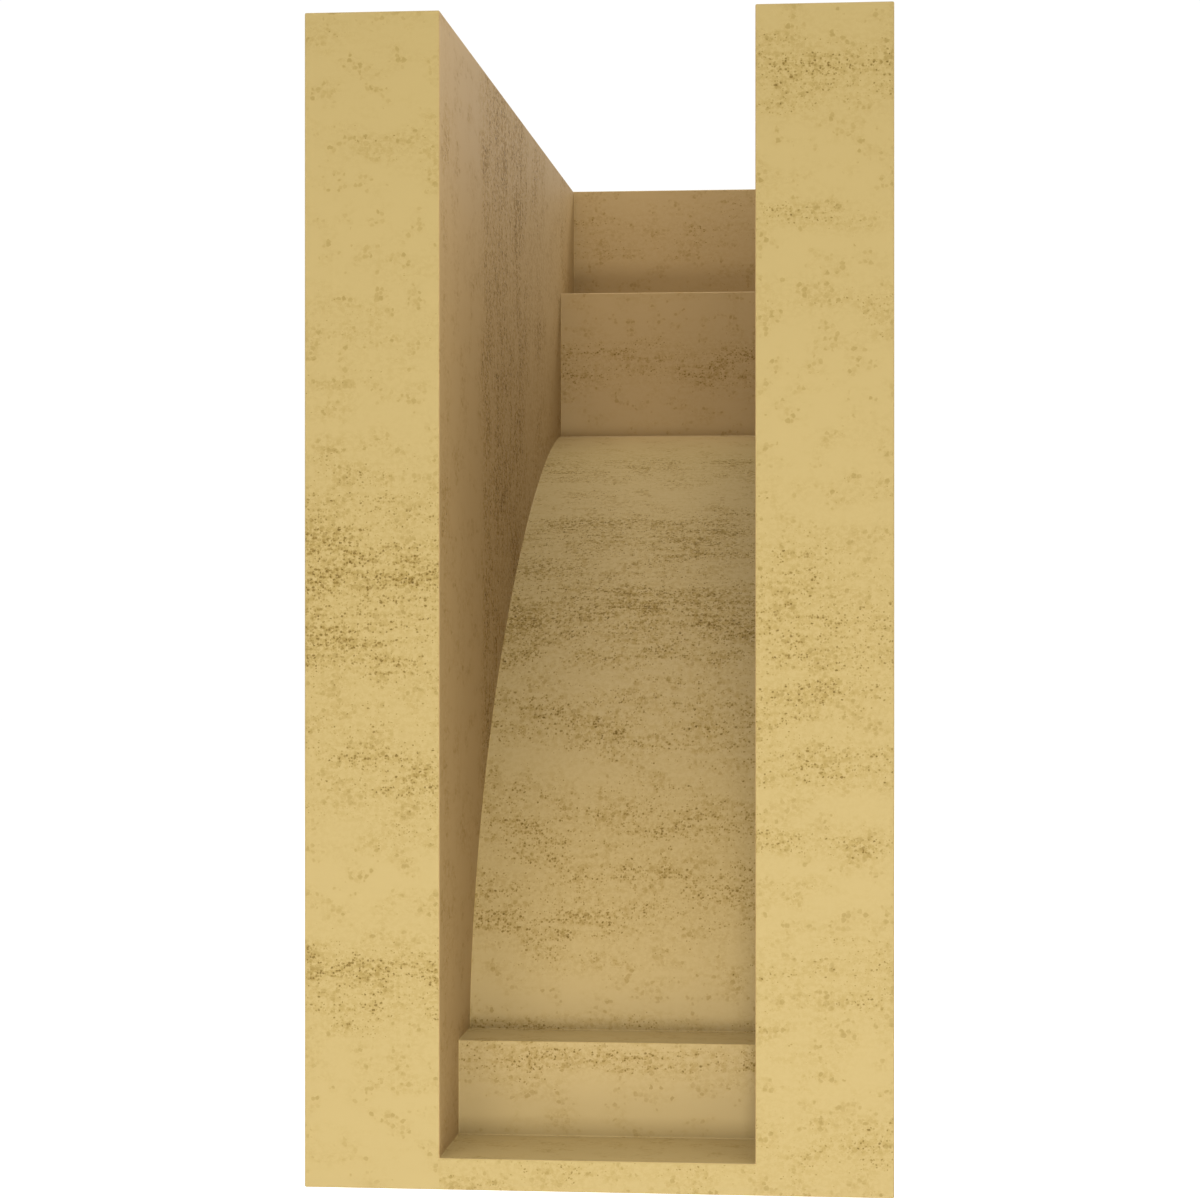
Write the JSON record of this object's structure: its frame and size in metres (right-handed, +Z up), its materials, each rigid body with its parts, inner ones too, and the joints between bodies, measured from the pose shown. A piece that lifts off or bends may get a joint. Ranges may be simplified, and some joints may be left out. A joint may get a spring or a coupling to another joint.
{
  "type": "corbel",
  "caption": "Hollow moulded corbel with a stepped block head, a long concave cove and a small foot, open behind and on top, fixed to a wall under a beam or shelf.",
  "frame": {"origin": "on the back face, in the middle of the floor's back edge, half way up the floor's thickness", "axes": "+Z up, the front faces -Y, +Y points out of the back face into the wall that holds the corbel, +X to the right seen from the front"},
  "size_m": [0.1524, 0.3048, 0.3048],
  "materials": {
    "tan_polyurethane": "matte"
  },
  "bodies": {
    "root": {"corbel_shell": "tan_polyurethane"}
  },
  "joints": []
}
